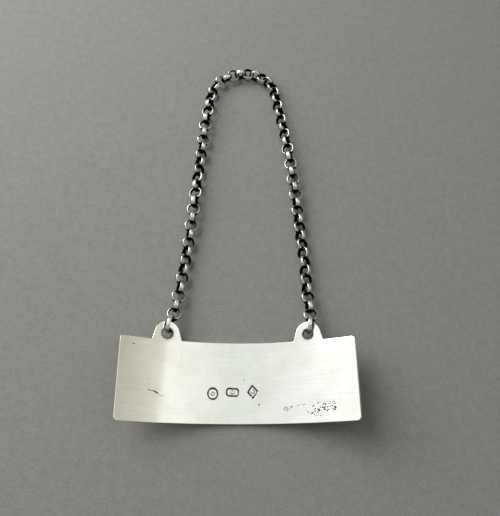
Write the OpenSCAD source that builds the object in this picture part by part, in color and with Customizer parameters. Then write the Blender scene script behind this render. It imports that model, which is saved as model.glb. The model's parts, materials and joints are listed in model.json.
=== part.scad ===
// Silver wine label: a curved plate that hangs round a bottle's neck on a loop of belcher chain.
// It lies as it would on a table, curved front down and back up, with the chain laid out behind it.
// +Y runs up the label from its lower edge to the top of the loop, and +Z is up from the table.

/* [Label] */
// Width of the panel along its curved back
label_w = 48; // [42:0.5:60]
// Height of the panel
label_h = 16; // [12:0.5:24]
// Thickness of the silver sheet
sheet_t = 0.8; // [0.6:0.05:1]
// Radius of the curved back, which sits on the bottle
bottle_r = 40; // [36:0.5:60]
// Radius of the panel's corners
corner_r = 0.8; // [0.4:0.1:2]

/* [Ears] */
// Distance between the two ear holes along the curved back
ear_span = 28.9; // [26:0.1:34]
// Height of the ear holes above the panel's top edge
ear_rise = 1.35; // [1.1:0.05:2]
// Radius of the round top of an ear
ear_r = 2.55; // [2.3:0.05:2.8]
// Width of an ear where it meets the panel
ear_foot_w = 6.1; // [5.8:0.1:8]
// Diameter of the hole in an ear
ear_hole_d = 2.05; // [1.9:0.05:2.4]

/* [End rings] */
// Inside diameter of the ring that joins the chain to an ear
ring_id = 3.2; // [3.1:0.05:3.6]
// Thickness of the ring's wire, measured outwards from the ring's middle
ring_t = 0.35; // [0.28:0.01:0.4]
// Width of the ring's wire, measured along the ring's axis
ring_w = 0.8; // [0.7:0.02:0.86]
// Stand of both rings, where 0 lies flat and 90 is upright, with less leaning to the left
ring_lean = 88; // [84:1:92]
// Angle that the left ring has slid round its ear, to the right
left_slide = 14; // [0:1:16]
// Angle that the right ring has slid round its ear, to the right
right_slide = 8; // [0:1:10]
// Droop of the rings below level, towards the table
ring_droop = 10; // [5:1:15]
// Slack between a ring and the ear
ear_slack = 0.44; // [0.4:0.01:0.5]
// Slack between a ring and the first link
ring_slack = 0.52; // [0.45:0.01:0.6]

/* [Chain] */
// Outside diameter of a link
link_od = 3; // [2.8:0.05:3.3]
// Thickness of a link's wire, measured outwards from the link's middle
link_t = 0.3; // [0.26:0.02:0.34]
// Width of a link's wire, measured along the link's axis
link_w = 0.92; // [0.8:0.02:1]
// Height of the domed outside of the wire
wire_dome = 0.17; // [0.12:0.01:0.18]
// Swell of the wire's inside face at its middle
wire_belly = 0.06; // [0.04:0.01:0.08]
// Slack between two joined links
link_play = 0.27; // [0.2:0.01:0.35]
// Links in each side of the loop
leg_links = 28; // [20:1:28]
// Links in the bend at the top of the loop
crown_count = 12; // [11:1:14]
// Extra slack between the links of the bend
crown_slack = 0.19; // [0.1:0.01:0.25]
// Links over which the chain comes down from the ears to the table
ramp_links = 5; // [4:1:8]
// Sideways step of a link from the one before it that the chain has slack for
leg_sway = 0.25; // [0.2:0.01:0.4]

/* [Hidden] */
$fn = 96;

// Sheet and ears
arc_r = bottle_r + sheet_t;
mid_r = bottle_r + sheet_t / 2;
deg_per_mm = 180 / (PI * bottle_r);
ear_a = ear_span / 2 * deg_per_mm;
ear_x = mid_r * sin(ear_a);
ear_z = arc_r - mid_r * cos(ear_a);
hole_r = ear_hole_d / 2;
hole_y = label_h + ear_rise;
ear_root = 1;
cut_over = 1;
// A corner's arc stops just short of tangent, so that it meets the straight edges cleanly
corner_sink = 0.02 * corner_r;

// The rim of ear that a ring goes round: its middle radius, and its reach from there to its corners
rim_r = (hole_r + ear_r) / 2;
rim_reach = norm([(ear_r - hole_r) / 2, sheet_t / 2]);

// Distances between the middles of joined rings, from how far each can pull on the other's wire
ring_ir = ring_id / 2;
link_ir = link_od / 2 - link_t;
function pull(ir, wire_w) = min(ir, sqrt(pow(ir + wire_belly, 2) - pow(wire_w / 2, 2)));
link_pitch = 2 * pull(link_ir, link_w) - link_play;
ring_pitch = pull(ring_ir, link_w) + pull(link_ir, ring_w) - ring_slack;
crown_pitch = link_pitch - crown_slack;

// A ring's middle lies out from the middle of the rim, along the way that the ring hangs
ring_off = ring_ir - rim_reach - ear_slack;
function ring_way(slide) = [sin(slide) * cos(ring_droop), cos(slide) * cos(ring_droop), -sin(ring_droop)];
function rim_at(side, slide) =
    let (across = rim_r * sin(slide))
    [side * ear_x + across * cos(ear_a), hole_y + rim_r * cos(slide), ear_z + side * across * sin(ear_a)];
function ring_at(side, slide) = rim_at(side, slide) + ring_off * ring_way(slide);
left_ring_at = ring_at(-1, left_slide);
right_ring_at = ring_at(1, right_slide);

// Rows of links, one in each side of the loop, counted from the rings, which are row 0
table_z = link_od / 2;
ring_y = (left_ring_at.y + right_ring_at.y) / 2;
ring_z = (left_ring_at.z + right_ring_at.z) / 2;
function ramp(k) = k < ramp_links ? pow(1 - k / ramp_links, 2) : 0;
function row_z(k) = table_z + (ring_z - table_z) * ramp(k);
function row_pitch(k) = k == 1 ? ring_pitch : link_pitch;
function row_step(k) = sqrt(pow(row_pitch(k), 2) - pow(row_z(k) - row_z(k - 1), 2) - pow(leg_sway, 2));
row_y = [for (k = 0, y = ring_y; k <= leg_links; k = k + 1, y = y + row_step(k)) y];

// How far each side of the loop has come in from its ear, by row, as the chain was laid down
left_drift = [[1, 1.2], [4, 2.1], [8, 3.2], [12, 4.1], [20, 5.5], [24, 6.3], [28, 7.5]];
right_drift = [[1, -0.7], [4, -0.3], [7, -0.2], [10, 0.5], [16, 1.4], [20, 2.2], [24, 3.5], [28, 5]];
function left_at(k) = k == 0 ? left_ring_at : [lookup(k, left_drift) - ear_x, row_y[k], row_z(k)];
function right_at(k) = k == 0 ? right_ring_at : [ear_x - lookup(k, right_drift), row_y[k], row_z(k)];

// The bend runs along one smooth curve from the last left link to the last right link
left_end = left_at(leg_links);
right_end = right_at(leg_links);
left_pull = [0.5, 8.5, 0];
right_pull = [-1, 11, 0];
curve_steps = 60;
most_pull = 4;
pull_tries = 20;
function curve(t, s) =
    pow(1 - t, 3) * left_end
    + 3 * pow(1 - t, 2) * t * (left_end + s * left_pull)
    + 3 * (1 - t) * pow(t, 2) * (right_end + s * right_pull)
    + pow(t, 3) * right_end;
function stride(i, s) = norm(curve(i / curve_steps, s) - curve((i - 1) / curve_steps, s));
// Length run and place on the curve, step by step
function marks(s) =
    [for (i = 0, run = 0; i <= curve_steps; i = i + 1, run = run + stride(i, s)) [run, i / curve_steps]];
// The curve is drawn out until it is as long as its links
crown_len = (crown_count + 1) * crown_pitch;
function drawn_out(low, high, tries) =
    let (mid = (low + high) / 2)
    tries == 0 ? mid
    : marks(mid)[curve_steps][0] < crown_len ? drawn_out(mid, high, tries - 1)
    : drawn_out(low, mid, tries - 1);
crown_s = drawn_out(0, most_pull, pull_tries);
crown_marks = marks(crown_s);
function crown_at(c) = curve(lookup(c * crown_pitch, crown_marks), crown_s);

// Roll of a link about the chain: neighbours stand square to each other, and the chain is twisted
left_twist = [[1, -45], [7, 0], [28, -170]];
right_twist = [[1, -45], [7, 0], [24, -90]];
half_square = 45;
function link_roll(k, twist) = (k % 2 == 1 ? half_square : -half_square) + twist;
function left_roll(k) = link_roll(k, lookup(k, left_twist));
function right_roll(k) = link_roll(k, lookup(k, right_twist));
// The bend takes the twist on from the last left link to the last right link, which faces the other way
crown_from = lookup(leg_links, left_twist) + 180;
crown_to = -lookup(leg_links, right_twist) - 180;
function crown_roll(c) =
    link_roll(leg_links + c, crown_from + (crown_to - crown_from) * c / (crown_count + 1));

// The origin is under the middle of the whole, which reaches from the lower edge to the top link
top_y = max([for (c = [1:crown_count]) crown_at(c).y]) + link_od / 2;
mid_y = top_y / 2;

function row_name(side, k) = str(side, "_link_", k < 10 ? "0" : "", k);

module centred() {
    translate([0, -mid_y, 0]) children();
}

// Swings a shape made at the lowest line of the curve along the curve to an angle
module at_arc(a) {
    translate([0, 0, arc_r]) rotate([0, -a, 0]) translate([0, 0, -arc_r]) children();
}

// The sheet before its outline is cut, as tall as the ears
module curved_sheet() {
    span_a = label_w * deg_per_mm;
    translate([0, 0, arc_r]) rotate([-90, 0, 0]) rotate([0, 0, 90 - span_a / 2])
        rotate_extrude(angle = span_a)
            translate([bottle_r, 0]) square([sheet_t, hole_y + ear_r + cut_over]);
}

// A round ear whose sides run down from the disc, tangent to it, past the ear's foot into the panel
module ear_outline() {
    foot = [ear_foot_w / 2, -ear_rise];
    tangent_a = acos(ear_r / norm(foot)) - asin(ear_rise / norm(foot));
    side = ear_r * [cos(tangent_a), sin(tangent_a)];
    root = foot + (foot - side) * ear_root / (side.y - foot.y);
    circle(r = ear_r);
    polygon([[-root.x, root.y], root, side, [-side.x, side.y]]);
}

// What is cut away to round a corner that points up and to the right
module corner_nib() {
    difference() {
        square(corner_r + cut_over);
        circle(r = corner_r + corner_sink);
    }
}

module label_plate() {
    corner_a = (label_w / 2 - corner_r) * deg_per_mm;
    low_y = corner_r;
    high_y = label_h - corner_r;
    color([0.86, 0.86, 0.81]) centred() difference() {
        intersection() {
            curved_sheet();
            union() {
                translate([-label_w, -cut_over, -cut_over])
                    cube([2 * label_w, label_h + cut_over, arc_r + cut_over]);
                for (side = [-1, 1])
                    at_arc(side * ear_a) translate([0, hole_y, -cut_over])
                        linear_extrude(sheet_t + 2 * cut_over) ear_outline();
            }
        }
        for (side = [-1, 1])
            at_arc(side * ear_a) translate([0, hole_y, -cut_over])
                cylinder(d = ear_hole_d, h = sheet_t + 2 * cut_over);
        for (corner = [[1, high_y, 0], [-1, high_y, 90], [-1, low_y, 180], [1, low_y, 270]])
            at_arc(corner[0] * corner_a) translate([0, corner[1], -cut_over])
                linear_extrude(sheet_t + 2 * cut_over) rotate(corner[2]) corner_nib();
    }
}

// A closed ring of half-round wire, domed outside and nearly flat inside, lying flat about the origin
module wire_ring(ir, t, w) {
    dome_r = (pow(w / 2, 2) + pow(wire_dome, 2)) / (2 * wire_dome);
    belly_r = (pow(w / 2, 2) + pow(wire_belly, 2)) / (2 * wire_belly);
    rotate_extrude() intersection() {
        translate([ir, -w / 2]) square([t, w]);
        translate([ir + t - dome_r, 0]) circle(r = dome_r);
        translate([ir + belly_r, 0]) circle(r = belly_r);
    }
}

// Sets a ring down at a point of the chain, turned along the line between its two neighbours
module strung(before, here, after, roll) {
    way = after - before;
    translate(here) rotate([roll, -asin(way.z / norm(way)), atan2(way.y, way.x)]) children();
}

module end_ring(here, slide) {
    color("silver") centred()
        strung(here, here, here + ring_way(slide), ring_lean) wire_ring(ring_ir, ring_t, ring_w);
}

module left_ring() {
    end_ring(left_ring_at, left_slide);
}

module right_ring() {
    end_ring(right_ring_at, right_slide);
}

module chain_link() {
    color([0.5, 0.49, 0.47]) wire_ring(link_ir, link_t, link_w);
}

module left_link(k) {
    after = k < leg_links ? left_at(k + 1) : crown_at(1);
    centred() strung(left_at(k - 1), left_at(k), after, left_roll(k)) chain_link();
}

module right_link(k) {
    after = k < leg_links ? right_at(k + 1) : crown_at(crown_count);
    centred() strung(right_at(k - 1), right_at(k), after, right_roll(k)) chain_link();
}

module crown_links() {
    for (c = [1:crown_count])
        centred() strung(crown_at(c - 1), crown_at(c), crown_at(c + 1), crown_roll(c)) chain_link();
}

label_plate();
left_ring();
right_ring();
for (k = [1:leg_links]) {
    left_link(k);
    right_link(k);
}
crown_links();
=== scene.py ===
# Silver wine label: a curved plate on a loop of belcher chain, lying back up on a pale card
import json
import math
import random

import bmesh
import bpy
import numpy as np
from mathutils import Matrix, Vector, noise


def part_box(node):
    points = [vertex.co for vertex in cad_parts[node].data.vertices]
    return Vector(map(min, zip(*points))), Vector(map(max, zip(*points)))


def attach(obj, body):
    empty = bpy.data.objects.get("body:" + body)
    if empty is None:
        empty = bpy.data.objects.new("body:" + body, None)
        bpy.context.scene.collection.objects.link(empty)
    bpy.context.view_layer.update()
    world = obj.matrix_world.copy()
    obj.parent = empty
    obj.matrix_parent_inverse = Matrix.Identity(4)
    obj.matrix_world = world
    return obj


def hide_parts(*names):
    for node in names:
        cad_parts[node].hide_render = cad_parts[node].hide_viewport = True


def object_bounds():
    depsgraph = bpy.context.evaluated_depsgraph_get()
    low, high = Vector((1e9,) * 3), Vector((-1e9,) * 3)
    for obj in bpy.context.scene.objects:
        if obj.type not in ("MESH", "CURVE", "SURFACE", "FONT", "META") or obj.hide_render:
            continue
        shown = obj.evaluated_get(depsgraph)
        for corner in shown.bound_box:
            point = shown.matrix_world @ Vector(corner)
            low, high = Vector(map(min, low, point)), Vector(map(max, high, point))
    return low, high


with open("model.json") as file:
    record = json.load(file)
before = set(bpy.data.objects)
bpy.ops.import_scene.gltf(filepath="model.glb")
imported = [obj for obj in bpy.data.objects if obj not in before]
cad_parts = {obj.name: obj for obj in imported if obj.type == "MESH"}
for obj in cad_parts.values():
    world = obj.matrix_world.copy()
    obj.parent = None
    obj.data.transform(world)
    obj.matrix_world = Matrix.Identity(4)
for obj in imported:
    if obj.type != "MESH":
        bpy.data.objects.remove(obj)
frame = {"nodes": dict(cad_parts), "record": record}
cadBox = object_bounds()
mm = 0.001
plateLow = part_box("label_plate")[0]


# small helpers

def hexColour(text):
    channels = [int(text[i:i + 2], 16) / 255 for i in (1, 3, 5)]
    linear = [c / 12.92 if c <= 0.04045 else ((c + 0.055) / 1.055) ** 2.4 for c in channels]
    return (*linear, 1.0)


def addNode(tree, kind, inputs=None, **settings):
    node = tree.nodes.new(kind)
    for name, value in settings.items():
        setattr(node, name, value)
    for name, value in (inputs or {}).items():
        if isinstance(value, bpy.types.NodeSocket):
            tree.links.new(value, node.inputs[name])
        else:
            node.inputs[name].default_value = value
    return node


def newMaterial(name):
    material = bpy.data.materials.new(name)
    material.use_nodes = True
    tree = material.node_tree
    return material, tree, tree.nodes["Principled BSDF"]


def perMetre(size):  # how often a pattern of this size in millimetres repeats in a metre
    return 1 / (size * mm)


def inMetres(sizes):
    return tuple(size * mm for size in sizes)


def makePiece(name, bm, material):
    mesh = bpy.data.meshes.new(name)
    bm.to_mesh(mesh)
    bm.free()
    for face in mesh.polygons:
        face.use_smooth = True
    mesh.materials.append(material)
    piece = bpy.data.objects.new(name, mesh)
    bpy.context.scene.collection.objects.link(piece)
    return piece


def smoothStep(value, low, high):
    t = min(1.0, max(0.0, (value - low) / (high - low)))
    return t * t * (3 - 2 * t)


# materials: patterns and bumps in millimetres, and a Range is the part of a pattern's values in use

sheetFinish = {
    "silver": "#F3F4F0",
    "stain": "#DFDCD0",
    "worn": "#A9A59A",
    "oxide": "#15120F",
    "roughness": (0.08, 0.16),
    "oxideRoughness": 0.3,
    "streak": (16.0, 0.22, 16.0),  # rubbing marks run across the label, drawn coarse enough to show
    "streakTurn": 2,
    "streakRange": (0.3, 0.7),
    "crossStreak": (0.5, 6.0, 6.0),
    "crossTurn": -9,
    "hairline": (9.0, 0.11, 9.0),
    "hairlineTurns": (1, -2, 4, -7, 86),
    "hairlineRange": (0.6, 0.78),
    "hairlineMost": 0.2,
    "cloud": 5.0,
    "cloudRange": (0.42, 0.75),
    "cloudMost": 0.55,
    "grain": 0.45,
    "streakBump": 0.1,
    "crossBump": 0.1,
    "grainBump": 0.12,
    "bumpDepth": 0.02,
}


def makeSheetSilver(finish):
    # Sterling silver, rolled sheet, worn by years of rubbing: soft bright reflections with fine streaks
    material, tree, shader = newMaterial("sterlingSheetRubbed")
    place = addNode(tree, "ShaderNodeTexCoord").outputs["Object"]
    # the oxide attribute also carries painted shade at the hole walls and in the punch grooves
    oxide = addNode(tree, "ShaderNodeAttribute", attribute_name="oxide").outputs["Fac"]
    streakAt = addNode(tree, "ShaderNodeMapping", {
        "Vector": place, "Scale": inMetres(finish["streak"]),
        "Rotation": (0, 0, math.radians(finish["streakTurn"]))}, vector_type="TEXTURE").outputs[0]
    streak = addNode(tree, "ShaderNodeTexNoise", {
        "Vector": streakAt, "Scale": 1, "Detail": 4, "Roughness": 0.65}).outputs[0]
    crossAt = addNode(tree, "ShaderNodeMapping", {
        "Vector": place, "Scale": inMetres(finish["crossStreak"]),
        "Rotation": (0, 0, math.radians(finish["crossTurn"]))}, vector_type="TEXTURE").outputs[0]
    cross = addNode(tree, "ShaderNodeTexNoise", {"Vector": crossAt, "Scale": 1, "Detail": 3}).outputs[0]
    cloud = addNode(tree, "ShaderNodeTexNoise", {
        "Vector": place, "Scale": perMetre(finish["cloud"]), "Detail": 5, "Roughness": 0.6}).outputs[0]
    grain = addNode(tree, "ShaderNodeTexNoise", {
        "Vector": place, "Scale": perMetre(finish["grain"]), "Detail": 2}).outputs[0]
    low, high = finish["cloudRange"]
    stained = addNode(tree, "ShaderNodeMapRange", {
        "Value": cloud, "From Min": low, "From Max": high, "To Max": finish["cloudMost"]}).outputs[0]
    clean = addNode(tree, "ShaderNodeMix", {
        "Factor": stained, "A": hexColour(finish["silver"]),
        "B": hexColour(finish["stain"])}, data_type="RGBA")
    low, high = finish["hairlineRange"]
    lines = 0.0
    for turn in finish["hairlineTurns"]:
        lineAt = addNode(tree, "ShaderNodeMapping", {
            "Vector": place, "Scale": inMetres(finish["hairline"]),
            "Rotation": (0, 0, math.radians(turn))}, vector_type="TEXTURE").outputs[0]
        line = addNode(tree, "ShaderNodeTexNoise", {"Vector": lineAt, "Scale": 1, "Detail": 1}).outputs[0]
        thin = addNode(tree, "ShaderNodeMapRange", {
            "Value": line, "From Min": low, "From Max": high, "To Max": finish["hairlineMost"]}).outputs[0]
        lines = addNode(tree, "ShaderNodeMath", {0: thin, 1: lines}, operation="MAXIMUM").outputs[0]
    scratched = addNode(tree, "ShaderNodeMix", {
        "Factor": lines, "A": clean.outputs["Result"], "B": hexColour(finish["worn"])}, data_type="RGBA")
    colour = addNode(tree, "ShaderNodeMix", {
        "Factor": oxide, "A": scratched.outputs["Result"], "B": hexColour(finish["oxide"])}, data_type="RGBA")
    low, high = finish["streakRange"]
    least, most = finish["roughness"]
    rub = addNode(tree, "ShaderNodeMapRange", {
        "Value": streak, "From Min": low, "From Max": high, "To Min": least, "To Max": most}).outputs[0]
    rough = addNode(tree, "ShaderNodeMath", {
        0: oxide, 1: finish["oxideRoughness"], 2: rub}, operation="MULTIPLY_ADD").outputs[0]
    tree.links.new(colour.outputs["Result"], shader.inputs["Base Color"])
    tree.links.new(rough, shader.inputs["Roughness"])
    shader.inputs["Metallic"].default_value = 1.0
    depth = finish["bumpDepth"] * mm
    streakBump = addNode(tree, "ShaderNodeBump", {
        "Height": streak, "Strength": finish["streakBump"], "Distance": depth})
    crossBump = addNode(tree, "ShaderNodeBump", {
        "Height": cross, "Strength": finish["crossBump"], "Distance": depth, "Normal": streakBump.outputs[0]})
    grainBump = addNode(tree, "ShaderNodeBump", {
        "Height": grain, "Strength": finish["grainBump"], "Distance": depth, "Normal": crossBump.outputs[0]})
    tree.links.new(grainBump.outputs[0], shader.inputs["Normal"])
    return material


wireFinish = {
    "worn": "#DAD6CC",
    "oxide": "#0D0B09",
    "roughness": (0.13, 0.4),
    "rub": 0.5,
    "rubMost": 0.7,  # how far the rubbing moves the edge between black and bright
    "rubRange": (0.25, 0.7),
    "scratch": 0.16,
    "scratchBump": 0.15,
    "bumpDepth": 0.02,
}


def makeWireSilver(name, finish):
    # Sterling silver, drawn half-round wire, oxidised black and then worn bright where it rubs
    material, tree, shader = newMaterial(name)
    place = addNode(tree, "ShaderNodeTexCoord").outputs["Object"]
    # the oxide attribute also carries painted shade where the links interlock
    oxide = addNode(tree, "ShaderNodeAttribute", attribute_name="oxide").outputs["Fac"]
    rub = addNode(tree, "ShaderNodeTexNoise", {
        "Vector": place, "Scale": perMetre(finish["rub"]), "Detail": 4, "Roughness": 0.6}).outputs[0]
    scratch = addNode(tree, "ShaderNodeTexNoise", {
        "Vector": place, "Scale": perMetre(finish["scratch"]), "Detail": 2}).outputs[0]
    uneven = addNode(tree, "ShaderNodeMath", {
        0: rub, 1: finish["rubMost"], 2: -finish["rubMost"] / 2}, operation="MULTIPLY_ADD").outputs[0]
    cover = addNode(tree, "ShaderNodeMath", {
        0: oxide, 1: uneven}, operation="ADD", use_clamp=True).outputs[0]
    low, high = finish["rubRange"]
    edge = addNode(tree, "ShaderNodeMapRange", {
        "Value": cover, "From Min": low, "From Max": high}, interpolation_type="SMOOTHSTEP").outputs[0]
    colour = addNode(tree, "ShaderNodeMix", {
        "Factor": edge, "A": hexColour(finish["worn"]), "B": hexColour(finish["oxide"])}, data_type="RGBA")
    least, most = finish["roughness"]
    rough = addNode(tree, "ShaderNodeMapRange", {"Value": edge, "To Min": least, "To Max": most}).outputs[0]
    bump = addNode(tree, "ShaderNodeBump", {
        "Height": scratch, "Strength": finish["scratchBump"], "Distance": finish["bumpDepth"] * mm})
    tree.links.new(colour.outputs["Result"], shader.inputs["Base Color"])
    tree.links.new(rough, shader.inputs["Roughness"])
    tree.links.new(bump.outputs[0], shader.inputs["Normal"])
    shader.inputs["Metallic"].default_value = 1.0
    return material


cardFinish = {
    "colour": "#828280",
    "roughness": 0.9,
    "shine": 0.15,
    "mottle": 14.0,
    "mottleShade": (0.97, 1.03),
    "fibre": 0.4,
    "felt": 1.6,
    "feltShare": 0.5,
    "speckRange": (0.45, 1.05),
    "speckShade": (0.84, 1.16),
    "fibreBump": 0.08,
    "bumpDepth": 0.1,
}


def makeCard(finish):
    # Uncoated card, pressed: matt and even, with a faint mottle
    material, tree, shader = newMaterial("paleCard")
    place = addNode(tree, "ShaderNodeTexCoord").outputs["Object"]
    fibre = addNode(tree, "ShaderNodeTexNoise", {
        "Vector": place, "Scale": perMetre(finish["fibre"]), "Detail": 3}).outputs[0]
    mottle = addNode(tree, "ShaderNodeTexNoise", {
        "Vector": place, "Scale": perMetre(finish["mottle"]), "Detail": 3}).outputs[0]
    felt = addNode(tree, "ShaderNodeTexNoise", {
        "Vector": place, "Scale": perMetre(finish["felt"]), "Detail": 2}).outputs[0]
    least, most = finish["mottleShade"]
    shade = addNode(tree, "ShaderNodeMapRange", {"Value": mottle, "To Min": least, "To Max": most}).outputs[0]
    both = addNode(tree, "ShaderNodeMath", {
        0: felt, 1: finish["feltShare"], 2: fibre}, operation="MULTIPLY_ADD").outputs[0]
    low, high = finish["speckRange"]
    least, most = finish["speckShade"]
    speck = addNode(tree, "ShaderNodeMapRange", {
        "Value": both, "From Min": low, "From Max": high, "To Min": least, "To Max": most}).outputs[0]
    level = addNode(tree, "ShaderNodeMath", {0: shade, 1: speck}, operation="MULTIPLY").outputs[0]
    tint = addNode(tree, "ShaderNodeMix", {
        "Factor": 1.0, "A": hexColour(finish["colour"]), "B": level}, data_type="RGBA", blend_type="MULTIPLY")
    bump = addNode(tree, "ShaderNodeBump", {
        "Height": fibre, "Strength": finish["fibreBump"], "Distance": finish["bumpDepth"] * mm})
    tree.links.new(tint.outputs["Result"], shader.inputs["Base Color"])
    tree.links.new(bump.outputs[0], shader.inputs["Normal"])
    shader.inputs["Roughness"].default_value = finish["roughness"]
    shader.inputs["Specular IOR Level"].default_value = finish["shine"]
    return material


sheetSilver = makeSheetSilver(sheetFinish)
chainSilver = makeWireSilver("oxidisedChainSilver", wireFinish)
ringSilver = makeWireSilver("wornRingSilver", {**wireFinish, "worn": "#ECE9E0", "oxide": "#3A342D"})
print("materials made")


# label plate, made flat in millimetres (across, up, out of the back), then bent round the bottle

plate = {
    "width": 48.0, "height": 16.0, "thickness": 0.8, "backRadius": 40.0,
    "corner": 0.8, "cornerSteps": 8,
    "earSpan": 28.9, "earRise": 1.35, "earRadius": 2.55, "earFoot": 6.1, "earSteps": 36,
    "holeRadius": 1.025, "holeSteps": 48,
    "edge": 0.09, "edgeSteps": 3, "edgeBand": 0.05,
    "cell": 0.4, "cellShift": 0.37, "fineCuts": 5,
    "wave": 0.014, "waveLength": 8.0,
    # the ear holes' walls and rims are painted near black: partly tarnish, partly painted shade for the dark
    # hole
    "holeTarnishAndShadeBand": (0.1, 0.3), "holeTarnishAndShade": 0.95,
    "holeStain": (0.2, 1.3), "stainOxide": 0.12, "stainPatch": 0.8,
}
# three struck marks: a plain oval, oblong and lozenge, each round a plain bead
punches = [
    {"at": (-4.9, 5.8), "shape": "oval", "half": (0.95, 1.05), "turn": 4},
    {"at": (-1.0, 6.1), "shape": "oblong", "half": (1.15, 0.7), "turn": -3},
    {"at": (3.0, 6.2), "shape": "lozenge", "half": (0.95, 1.25), "turn": 5},
]
punchCut = {
    # the grooves are painted black: partly oxide in the hollows, partly painted shade
    "groove": 0.165, "depth": 0.07, "grooveReach": 4, "grooveOxideAndShade": (0.1, 0.65),
    "field": 0.04, "fieldSlope": 0.2, "fieldPatch": 0.3, "fieldRise": 0.03,
    "bead": 0.32, "beadRise": 0.07, "beadOxide": 0.9, "beadBand": 0.3,
    "chamfer": 0.3, "chamferSlope": 0.7,
    "wear": 0.95, "wearSwing": 0.8, "wearPatch": 0.55, "leastGroove": 0.3, "margin": 1.6,
}
# a pitted patch near the right end, as runs of pits scattered along a few points
pitPatch = {
    "seed": 4, "depth": 0.07, "fullSize": 0.15, "reach": 1.4, "cup": (0.3, 1.3), "black": (0.65, 1.25),
    "box": (8.4, 0.7, 21.0, 4.8),
    "runs": [
        {"along": [(9.0, 2.5), (9.6, 3.1), (10.0, 2.6)], "spread": 0.16, "count": 20, "size": (0.06, 0.13)},
        {"along": [(10.2, 3.1), (11.2, 3.0)], "spread": 0.2, "count": 9, "size": (0.06, 0.11)},
        {"along": [(11.5, 3.3), (13.3, 3.45)], "spread": 0.07, "count": 13, "size": (0.06, 0.1)},
        {"along": [(13.3, 2.4), (14.2, 1.8), (15.4, 1.4), (16.6, 1.3)], "spread": 0.12, "count": 28,
         "size": (0.06, 0.14)},
        {"along": [(14.6, 2.8), (17.4, 2.9)], "spread": 0.5, "count": 44, "size": (0.06, 0.14)},
        {"along": [(17.4, 2.4), (19.6, 3.4)], "spread": 0.55, "count": 48, "size": (0.06, 0.14)},
        {"along": [(15.4, 2.0), (17.0, 3.0), (18.2, 1.6), (19.4, 3.0)], "spread": 0.3, "count": 15,
         "size": (0.12, 0.2)},
    ],
}
# a cut of three nicks near the left end, and single ones in the middle and at a corner
nicks = [
    {"from": (-17.6, 6.05), "to": (-16.3, 5.75), "half": 0.06, "depth": 0.05},
    {"from": (-16.35, 5.8), "to": (-15.7, 5.45), "half": 0.12, "depth": 0.08},
    {"from": (-15.6, 5.2), "to": (-14.6, 4.95), "half": 0.04, "depth": 0.03},
    {"from": (1.2, 8.55), "to": (1.35, 8.4), "half": 0.08, "depth": 0.05},
    {"from": (4.1, 3.75), "to": (4.45, 3.6), "half": 0.1, "depth": 0.06},
    {"from": (-21.3, 14.6), "to": (-20.9, 14.5), "half": 0.09, "depth": 0.05},
]
nickCut = {"reach": 1.6, "slope": (0.2, 1.5), "oxide": 0.85, "margin": 0.4}
noiseLayer = {"punchWear": 7.1, "punchField": 2.2, "holeStain": 4.4, "sheetWave": 0.3}


def unevenAt(u, v, size, layer):
    return noise.noise(Vector((u / size, v / size, noiseLayer[layer])))


def arc(bm, centre, radius, start, sweep, steps):
    point = Vector((*centre, 0)) + radius * Vector((math.cos(start), math.sin(start), 0))
    first = bm.verts.new(point)
    spun = bmesh.ops.spin(bm, geom=[first], cent=(*centre, 0), axis=(0, 0, 1), angle=sweep, steps=steps)
    last = [item for item in spun["geom_last"] if isinstance(item, bmesh.types.BMVert)][0]
    return first, last


def plateOutline(bm, s):
    across, high, corner = s["width"] / 2 - s["corner"], s["height"] - s["corner"], s["corner"]
    quarter = math.pi / 2
    foot = Vector((s["earFoot"] / 2, -s["earRise"]))
    lean = math.acos(s["earRadius"] / foot.length) - math.asin(s["earRise"] / foot.length)
    runs = [arc(bm, (-across, corner), corner, 2 * quarter, quarter, s["cornerSteps"]),
            arc(bm, (across, corner), corner, 3 * quarter, quarter, s["cornerSteps"]),
            arc(bm, (across, high), corner, 0, quarter, s["cornerSteps"])]
    for side in (1, -1):
        middle = (side * s["earSpan"] / 2, s["height"] + s["earRise"])
        right = bm.verts.new((middle[0] + foot.x, s["height"], 0))
        left = bm.verts.new((middle[0] - foot.x, s["height"], 0))
        ear = arc(bm, middle, s["earRadius"], lean, math.pi - 2 * lean, s["earSteps"])
        runs += [(right, right), ear, (left, left)]
        bmesh.ops.create_circle(bm, segments=s["holeSteps"], radius=s["holeRadius"],
                                matrix=Matrix.Translation((*middle, 0)))
    runs.append(arc(bm, (-across, high), corner, quarter, quarter, s["cornerSteps"]))
    for run, following in zip(runs, runs[1:] + runs[:1]):
        bm.edges.new((run[1], following[0]))
    bmesh.ops.triangle_fill(bm, use_beauty=True, edges=bm.edges[:], normal=(0, 0, 1))


def softenEdge(bm, s):  # rounds the edge over with a row of narrow insets, then a flat band inside it
    bmesh.ops.translate(bm, verts=bm.verts[:], vec=(0, 0, -s["edge"]))
    turns = [math.pi / 2 * i / s["edgeSteps"] for i in range(s["edgeSteps"] + 1)]
    insets = []
    for before, after in zip(turns, turns[1:]):
        insets.append((s["edge"] * (math.cos(before) - math.cos(after)),
                       s["edge"] * (math.sin(after) - math.sin(before))))
    insets.append((s["edgeBand"], 0.0))
    inner = bm.faces[:]
    for thickness, depth in insets:
        bmesh.ops.inset_region(bm, faces=inner, use_boundary=True, use_even_offset=True,
                               thickness=thickness, depth=depth)
    for edge in bm.edges:  # the fill's own edges, which go once the cells are cut
        edge.seam = len(edge.link_faces) == 2 and all(face in inner for face in edge.link_faces)
    return inner


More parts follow.
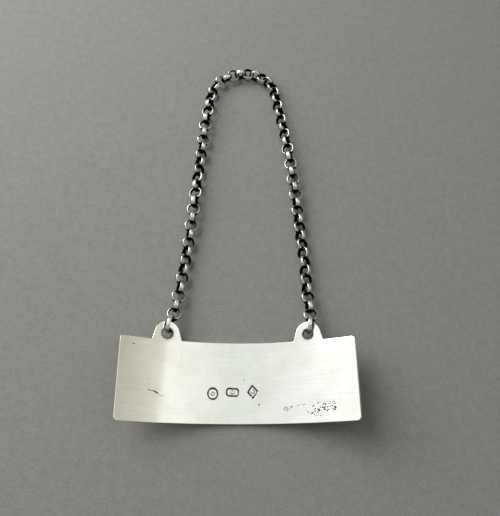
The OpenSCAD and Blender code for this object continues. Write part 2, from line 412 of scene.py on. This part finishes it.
def cutCells(bm, flat, s):  # cuts the flat and the long straights of its edge into cells that can bend
    toCut = [face for face in bm.faces
             if face in flat or max(edge.calc_length() for edge in face.edges) > s["cell"]]
    reach = s["width"] / 2 + s["cell"]
    top = s["height"] + s["earRise"] + s["earRadius"]
    for axis, low, high in (((1, 0, 0), -reach, reach), ((0, 1, 0), 0.0, top)):
        for i in range(math.floor(low / s["cell"]), math.ceil(high / s["cell"])):
            point = Vector(axis) * (i + s["cellShift"]) * s["cell"]
            parts = dict.fromkeys(item for face in toCut for item in [face, *face.edges, *face.verts])
            split = bmesh.ops.bisect_plane(bm, geom=list(parts), dist=1e-3, plane_co=point, plane_no=axis)
            toCut = [item for item in split["geom"] if isinstance(item, bmesh.types.BMFace)]
    bmesh.ops.dissolve_edges(bm, edges=[edge for edge in bm.edges if edge.seam], use_verts=True)


def closeSheet(bm, s):
    rim = [edge for edge in bm.edges if edge.is_boundary]
    copy = bmesh.ops.duplicate(bm, geom=bm.verts[:] + bm.edges[:] + bm.faces[:])["geom"]
    front = [item for item in copy if isinstance(item, bmesh.types.BMVert)]
    bmesh.ops.scale(bm, vec=(1, 1, -1), verts=front)
    bmesh.ops.translate(bm, vec=(0, 0, -s["thickness"]), verts=front)
    wall = bmesh.ops.extrude_edge_only(bm, edges=rim)["geom"]
    low = [item for item in wall if isinstance(item, bmesh.types.BMVert)]
    bmesh.ops.translate(bm, vec=(0, 0, 2 * s["edge"] - s["thickness"]), verts=low)
    bmesh.ops.remove_doubles(bm, verts=bm.verts[:], dist=1e-3)
    bmesh.ops.dissolve_degenerate(bm, dist=1e-3, edges=bm.edges[:])
    bmesh.ops.recalc_face_normals(bm, faces=bm.faces[:])


def punchGap(mark, x, y):  # how far a place is outside a mark's outline, below zero inside it
    a, b = mark["half"]
    if mark["shape"] == "oval":
        return (math.hypot(x / a, y / b) - 1) * min(a, b)
    if mark["shape"] == "oblong":
        chamfer = (abs(x) + abs(y) - a - b + punchCut["chamfer"]) * punchCut["chamferSlope"]
        return max(abs(x) - a, abs(y) - b, chamfer)
    return (abs(x) / a + abs(y) / b - 1) * a * b / math.hypot(a, b)


def punchRelief(u, v, s=punchCut):
    height = oxide = 0.0
    for mark in punches:
        turn = math.radians(mark["turn"])
        du, dv = u - mark["at"][0], v - mark["at"][1]
        x = du * math.cos(turn) + dv * math.sin(turn)
        y = dv * math.cos(turn) - du * math.sin(turn)
        gap = punchGap(mark, x, y)
        if gap > s["grooveReach"] * s["groove"]:
            continue
        wear = s["wear"] + s["wearSwing"] * unevenAt(u, v, s["wearPatch"], "punchWear")
        groove = min(1.0, max(s["leastGroove"], wear)) * math.exp(-(gap / s["groove"]) ** 2)
        height -= s["depth"] * groove + s["field"] * (1 - smoothStep(gap, -s["fieldSlope"], 0.0))
        bead = math.hypot(x, y) / s["bead"]
        if bead < 1:
            height += s["beadRise"] * math.sqrt(1 - bead * bead)
        elif gap < 0:
            height += s["fieldRise"] * unevenAt(u, v, s["fieldPatch"], "punchField")
        atBead = math.exp(-((bead - 1) / s["beadBand"]) ** 2)
        beadOxide = s["beadOxide"] * min(1.0, max(0.0, wear)) * atBead
        # the black along the groove is partly oxide, partly painted shade
        oxide = max(oxide, smoothStep(groove, *s["grooveOxideAndShade"]), beadOxide)
    return height, oxide


def makePits(s):
    draw = random.Random(s["seed"])
    found = []
    for run in s["runs"]:
        for i in range(run["count"]):
            step, share = divmod(draw.random() * (len(run["along"]) - 1), 1)
            spot = Vector(run["along"][int(step)]).lerp(Vector(run["along"][int(step) + 1]), share)
            low, high = run["size"]
            radius = low + (high - low) * draw.random() ** 2
            u = spot.x + draw.gauss(0, run["spread"])
            v = spot.y + draw.gauss(0, run["spread"])
            found.append((u, v, radius))
    return found


pits = makePits(pitPatch)


def pitRelief(u, v, s=pitPatch):
    height = oxide = 0.0
    for pitU, pitV, radius in pits:
        away = math.hypot(u - pitU, v - pitV) / radius
        if away < s["reach"]:
            cup = 1 - smoothStep(away, *s["cup"])
            height = min(height, -s["depth"] * cup * min(1.0, radius / s["fullSize"]))
            oxide = max(oxide, 1 - smoothStep(away, *s["black"]))
    return height, oxide


def nickRelief(u, v, s=nickCut):
    height = oxide = 0.0
    for nick in nicks:
        start, end = Vector(nick["from"]), Vector(nick["to"])
        run = end - start
        share = min(1.0, max(0.0, (Vector((u, v)) - start).dot(run) / run.length_squared))
        away = (Vector((u, v)) - start - share * run).length / nick["half"]
        if away < s["reach"]:
            cut = 1 - smoothStep(away, *s["slope"])
            height = min(height, -nick["depth"] * cut)
            oxide = max(oxide, s["oxide"] * cut)
    return height, oxide


def worked(u, v):  # whether a place on the back carries a mark that needs a finer mesh
    margin = punchCut["margin"]
    for mark in punches:
        if abs(u - mark["at"][0]) < margin and abs(v - mark["at"][1]) < margin:
            return True
    left, bottom, right, top = pitPatch["box"]
    if left < u < right and bottom < v < top:
        return True
    for nick in nicks:
        low = [min(nick["from"][i], nick["to"][i]) - nickCut["margin"] for i in (0, 1)]
        high = [max(nick["from"][i], nick["to"][i]) + nickCut["margin"] for i in (0, 1)]
        if low[0] < u < high[0] and low[1] < v < high[1]:
            return True
    return False


def makePlate(s):
    bm = bmesh.new()
    plateOutline(bm, s)
    flat = softenEdge(bm, s)
    cutCells(bm, flat, s)
    closeSheet(bm, s)
    fine = [face for face in bm.faces if face.normal.z > 0.99 and worked(*face.calc_center_median().xy)]
    edges = list(dict.fromkeys(edge for face in fine for edge in face.edges))
    bmesh.ops.subdivide_edges(bm, edges=edges, cuts=s["fineCuts"], use_grid_fill=True)
    oxideAndShadeLayer = bm.verts.layers.float.new("oxide")
    for vert in bm.verts:
        u, v, out = vert.co
        onBack = out > -s["edge"] - 1e-4
        if onBack and worked(u, v):
            reliefs = [relief(u, v) for relief in (punchRelief, pitRelief, nickRelief)]
            out += max((height for height, shade in reliefs), key=abs)
            vert[oxideAndShadeLayer] = max(shade for height, shade in reliefs)
        fromHole = math.hypot(abs(u) - s["earSpan"] / 2, v - s["height"] - s["earRise"]) - s["holeRadius"]
        # near black at the hole's wall and rim: partly tarnish, partly painted shade standing in for the
        # shadow inside the hole
        black = s["holeTarnishAndShade"] * (1 - smoothStep(fromHole, *s["holeTarnishAndShadeBand"]))
        stain = s["stainOxide"] * (1 + unevenAt(u, v, s["stainPatch"], "holeStain"))
        stain *= 1 - smoothStep(fromHole, *s["holeStain"])
        vert[oxideAndShadeLayer] = max(vert[oxideAndShadeLayer], black, stain)
        out += s["wave"] * unevenAt(u, v, s["waveLength"], "sheetWave")
        angle = u / s["backRadius"]
        radius = s["backRadius"] - out
        x = radius * math.sin(angle)
        z = s["backRadius"] + s["thickness"] - radius * math.cos(angle)
        vert.co = Vector((0, plateLow.y, plateLow.z)) + mm * Vector((x, v, z))
    manySided = [face for face in bm.faces if len(face.verts) > 4]
    bmesh.ops.triangulate(bm, faces=manySided, ngon_method="BEAUTY")
    bmesh.ops.recalc_face_normals(bm, faces=bm.faces[:])
    return makePiece("labelPlate", bm, sheetSilver)


plateObject = makePlate(plate)
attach(plateObject, "label")
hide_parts("label_plate")
print("label plate made:", len(plateObject.data.polygons), "faces")


# chain links and end rings, each a closed ring of half-round wire, in millimetres

link = {
    "inside": 1.2, "thickness": 0.3, "width": 0.92, "turns": 64, "turnSeed": 11,
    "dome": 0.065, "domeSteps": 6, "belly": 0.06, "bellySteps": 4,
    "shoulder": 0.13, "shoulderSteps": 5, "lip": 0.03, "lipSteps": 2,
    "seam": 0.06, "seamOxide": 0.3,
    "worn": (0.065, 0.125), "wornMost": 0.95,  # black on the inside, worn bright outwards
    # where a link lies inside the next one it is darkened: partly oxide, partly painted shade between the
    # links
    "nest": (0.58, 0.9), "nestOxideAndShade": 1.0,  # shares of the outside radius, along the chain
}
endRing = {**link, "inside": 1.6, "thickness": 0.35, "width": 0.8, "nestOxideAndShade": 0.4}


def bowRadius(half, rise):
    return (half * half + rise * rise) / (2 * rise)


def wireSection(bm, s):
    half = s["width"] / 2
    outside = s["inside"] + s["thickness"]
    domeRadius, bellyRadius = bowRadius(half, s["dome"]), bowRadius(half, s["belly"])
    ends = []
    for centre, radius, way, steps in ((outside - domeRadius, domeRadius, 1, s["domeSteps"]),
                                       (s["inside"] + bellyRadius, bellyRadius, -1, s["bellySteps"])):
        reach = math.asin(half / radius)
        first = bm.verts.new((centre + way * radius * math.cos(reach), 0, -half))
        spun = bmesh.ops.spin(bm, geom=[first], cent=(centre, 0, 0), axis=(0, -way, 0), angle=2 * reach,
                              steps=steps)
        last = [item for item in spun["geom_last"] if isinstance(item, bmesh.types.BMVert)][0]
        ends.append((first, last))
    (domeLow, domeHigh), (bellyLow, bellyHigh) = ends
    bm.edges.new((domeLow, bellyLow))
    bm.edges.new((domeHigh, bellyHigh))


def ringMesh(s):
    bm = bmesh.new()
    wireSection(bm, s)
    bmesh.ops.spin(bm, geom=bm.verts[:] + bm.edges[:], cent=(0, 0, 0), axis=(0, 0, 1), angle=2 * math.pi,
                   steps=s["turns"], use_merge=True)
    bmesh.ops.remove_doubles(bm, verts=bm.verts[:], dist=1e-5)
    bmesh.ops.recalc_face_normals(bm, faces=bm.faces[:])
    half, middle = s["width"] / 2, s["inside"] + s["thickness"] / 2
    rounds = ((True, s["shoulder"], s["shoulderSteps"]), (False, s["lip"], s["lipSteps"]))
    for outer, offset, segments in rounds:
        corners = [edge for edge in bm.edges
                   if all(abs(abs(vert.co.z) - half) < 1e-4 for vert in edge.verts)
                   and all((vert.co.xy.length > middle) == outer for vert in edge.verts)]
        bmesh.ops.bevel(bm, geom=corners, offset=offset, offset_type="OFFSET", segments=segments,
                        profile=0.5, affect="EDGES", clamp_overlap=True, material=-1)
    bmesh.ops.remove_doubles(bm, verts=bm.verts[:], dist=1e-4)
    oxideAndShadeLayer = bm.verts.layers.float.new("oxide")
    heart = Vector((middle, 0, 0))
    for vert in bm.verts:
        out = vert.co.xy.length - s["inside"]
        vert[oxideAndShadeLayer] = 1 - s["wornMost"] * smoothStep(out, *s["worn"])
        if abs(math.atan2(vert.co.y, vert.co.x)) < 1e-4:  # the soldered seam is a little sunk
            vert.co = vert.co.lerp(heart, s["seam"])
            vert[oxideAndShadeLayer] = min(1.0, vert[oxideAndShadeLayer] + s["seamOxide"])
    bmesh.ops.recalc_face_normals(bm, faces=bm.faces[:])
    return bm


def ringPlace(points):  # middle and axis of a ring from the points of its solid
    points = np.array(points)
    middle = (points.min(0) + points.max(0)) / 2
    ways = np.linalg.eigh(np.cov((points - middle).T))[1]
    axis = Vector(ways[:, 0])  # the way in which the points spread least
    return Vector(middle), axis if axis.z >= 0 else -axis


def islands(node):  # the separate solids of a node, as lists of points
    bm = bmesh.new()
    bm.from_mesh(node.data)
    bmesh.ops.remove_doubles(bm, verts=bm.verts[:], dist=1e-6)
    left = dict.fromkeys(bm.verts)
    found = []
    while left:
        queue = [left.popitem()[0]]
        points = []
        while queue:
            vert = queue.pop()
            points.append(tuple(vert.co))
            for edge in vert.link_edges:
                other = edge.other_vert(vert)
                if other in left:
                    left.pop(other)
                    queue.append(other)
        found.append(points)
    bm.free()
    return found


def findRings():
    found = []
    for body, members in frame["record"]["behaviour"]["bodies"].items():
        for node in members:
            if node == "label_plate":
                continue
            solids = islands(frame["nodes"][node])
            solids.sort(key=lambda points: sum(point[0] for point in points) / len(points))
            for i, points in enumerate(solids):
                name = f"crownLink{i + 1:02d}" if len(solids) > 1 else node + "Wire"
                middle, axis = ringPlace(points)
                found.append({"name": name, "body": body, "node": node, "middle": middle, "axis": axis})
    for ring in found:  # the way the chain runs here, from one neighbour to the other
        near = sorted((other["middle"] for other in found),
                      key=lambda middle: (middle - ring["middle"]).length)
        ring["way"] = (near[1] - near[2]).normalized()
    return found


linkShape, ringShape = ringMesh(link), ringMesh(endRing)
turnDraw = random.Random(link["turnSeed"])


def placeRing(ring, shape, s, material):
    bm = shape.copy()
    seamAt = Matrix.Rotation(turnDraw.uniform(0, 2 * math.pi), 4, "Z")
    stand = ring["axis"].to_track_quat("Z", "Y").to_matrix().to_4x4()
    place = Matrix.Translation(ring["middle"]) @ stand @ seamAt @ Matrix.Scale(mm, 4)
    bmesh.ops.transform(bm, verts=bm.verts[:], matrix=place)
    oxideAndShadeLayer = bm.verts.layers.float["oxide"]
    for vert in bm.verts:  # the ends that lie inside the next link are darkened: oxide kept from rubbing, and painted shade where the links interlock
        along = abs((vert.co - ring["middle"]).dot(ring["way"])) / mm / (s["inside"] + s["thickness"])
        vert[oxideAndShadeLayer] = max(vert[oxideAndShadeLayer], s["nestOxideAndShade"] * smoothStep(along, *s["nest"]))
    piece = makePiece(ring["name"], bm, material)
    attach(piece, ring["body"])
    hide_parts(ring["node"])


for ring in findRings():
    if ring["node"].endswith("_ring"):
        placeRing(ring, ringShape, endRing, ringSilver)
    else:
        placeRing(ring, linkShape, link, chainSilver)
linkShape.free()
ringShape.free()


# floor, light and camera

floor = {"size": 3.0, "gap": 0.02 * mm}
floorMesh = bmesh.new()
bmesh.ops.create_grid(floorMesh, x_segments=4, y_segments=4, size=floor["size"],
                      matrix=Matrix.Translation((0, 0, cadBox[0].z - floor["gap"])))
floorObject = makePiece("floor", floorMesh, makeCard(cardFinish))

# a soft lamp at the upper left lights the card, and a smaller one only glints in the silver;
# the room gives the rest
lamps = [
    {"name": "cardLamp", "at": (-0.21, 0.15, 0.2), "aim": (0, 0.03, 0), "size": (0.28, 0.28), "glow": 5.8,
     "colour": "#FFFDF8", "glints": False},
    {"name": "silverLamp", "at": (-0.194, 0.19, 0.204), "aim": (0, 0, 0), "size": (0.2, 0.2), "glow": 7.0,
     "colour": "#FFFDF8", "glints": True},
]


def addLamp(s):
    light = bpy.data.lights.new(s["name"], "AREA")
    light.shape = "RECTANGLE"
    light.size, light.size_y = s["size"]
    light.color = hexColour(s["colour"])[:3]
    light.energy = s["glow"] * math.pi * light.size * light.size_y  # glow is how bright the panel looks
    lamp = bpy.data.objects.new(s["name"], light)
    lamp.location = s["at"]
    way = Vector(s["aim"]) - Vector(s["at"])
    lamp.rotation_euler = way.to_track_quat("-Z", "Y").to_euler()
    lamp.visible_glossy, lamp.visible_diffuse = s["glints"], not s["glints"]
    bpy.context.scene.collection.objects.link(lamp)


for lamp in lamps:
    addLamp(lamp)

# the room from right to left: a warm wall, the sharp edge of a bright ceiling, a duller middle, then brighter
# to a window; it dims behind and in front, and low down it is as grey as the card
room = {
    "across": [(1.0, "#988E80"), (0.8, "#B6B3A8"), (0.592, "#D3D0C4"), (0.582, "#F1F2EB"), (0.3, "#E2E4DE"),
               (0.0, "#D7DBD7"), (-0.3, "#E0E2DF"), (-0.6, "#EFEFEE"), (-0.85, "#F8F8F6")],
    "slant": 0.38,
    "mirrorBack": 1 / 6,  # how far back the middle of the plate mirrors the room
    "far": 0.55, "farBand": (0.8, 0.3),
    "near": 0.38, "nearBand": (-0.5, -0.05),
    "low": "#6A6A67", "lowTo": 0.5,
    "strength": 1.25,
    "onCard": 0.6,  # the share that lights the card
}


def makeRoom(s):
    world = bpy.data.worlds.new("room")
    bpy.context.scene.world = world
    world.use_nodes = True
    tree = world.node_tree
    way = addNode(tree, "ShaderNodeTexCoord").outputs["Generated"]
    along = addNode(tree, "ShaderNodeSeparateXYZ", {"Vector": way})
    across = addNode(tree, "ShaderNodeVectorMath", {0: way, 1: (1, s["slant"], 0)}, operation="DOT_PRODUCT")
    shift = s["slant"] * s["mirrorBack"]
    right = addNode(tree, "ShaderNodeMapRange", {
        "Value": across.outputs["Value"], "From Min": shift - 1, "From Max": shift + 1}).outputs[0]
    walls = addNode(tree, "ShaderNodeValToRGB", {"Fac": right})
    stops = walls.color_ramp.elements
    stops.remove(stops[1])
    for i, (x, colour) in enumerate(reversed(s["across"])):
        stop = stops[0] if i == 0 else stops.new((x + 1) / 2)
        stop.position = (x + 1) / 2
        stop.color = hexColour(colour)
    shades = []
    for (low, high), least in ((s["farBand"], s["far"]), (s["nearBand"], s["near"])):
        shades.append(addNode(tree, "ShaderNodeMapRange", {
            "Value": along.outputs["Y"], "From Min": low, "From Max": high, "To Min": least},
            interpolation_type="SMOOTHSTEP").outputs[0])
    band = addNode(tree, "ShaderNodeMath", {0: shades[0], 1: shades[1]}, operation="MINIMUM").outputs[0]
    glow = addNode(tree, "ShaderNodeVectorMath", {
        0: walls.outputs["Color"], "Scale": band}, operation="SCALE")
    above = addNode(tree, "ShaderNodeMapRange", {
        "Value": along.outputs["Z"], "From Max": s["lowTo"]}, interpolation_type="SMOOTHSTEP").outputs[0]
    grey = [channel / s["strength"] for channel in hexColour(s["low"])[:3]]
    shown = addNode(tree, "ShaderNodeMix", {
        "Factor": above, "A": (*grey, 1), "B": glow.outputs[0]}, data_type="RGBA")
    matt = addNode(tree, "ShaderNodeLightPath").outputs["Is Diffuse Ray"]
    strength = addNode(tree, "ShaderNodeMapRange", {
        "Value": matt, "To Min": s["strength"], "To Max": s["strength"] * s["onCard"]}).outputs[0]
    background = tree.nodes["Background"]
    tree.links.new(shown.outputs["Result"], background.inputs["Color"])
    tree.links.new(strength, background.inputs["Strength"])


makeRoom(room)

# the photograph's view, matched on the plate's outline and the chain: in millimetres from the lower edge,
# with the focal length and the side of the image in pixels
photoView = {
    "target": (2.65, 35.278, 0.0), "away": 121.26, "elevation": 67.104, "yaw": -6.482, "roll": 6.701,
    "focal": 551.99, "imageSide": 516, "sensor": 36.0, "clipStart": 5.0,
}


def addCamera(s):
    camera = bpy.data.cameras.new("photoCamera")
    camera.sensor_width = s["sensor"]
    camera.lens = s["focal"] / s["imageSide"] * s["sensor"]
    camera.clip_start = s["clipStart"] * mm
    elevation, yaw, roll = (math.radians(s[name]) for name in ("elevation", "yaw", "roll"))
    right = Vector((math.cos(yaw), math.sin(yaw), 0))
    back = Vector((right.y * math.cos(elevation), -right.x * math.cos(elevation), math.sin(elevation)))
    up = back.cross(right)
    across = math.cos(roll) * right + math.sin(roll) * up
    upward = math.cos(roll) * up - math.sin(roll) * right
    target = Vector((0, plateLow.y, 0)) + mm * Vector(s["target"])
    pose = Matrix((across, upward, back)).transposed().to_4x4()
    pose.translation = target + s["away"] * mm * back
    cameraObject = bpy.data.objects.new("photoCamera", camera)
    cameraObject.matrix_world = pose
    bpy.context.scene.collection.objects.link(cameraObject)
    bpy.context.scene.camera = cameraObject


addCamera(photoView)
bpy.context.scene.view_settings.view_transform = "Standard"
print("floor, light and camera set")
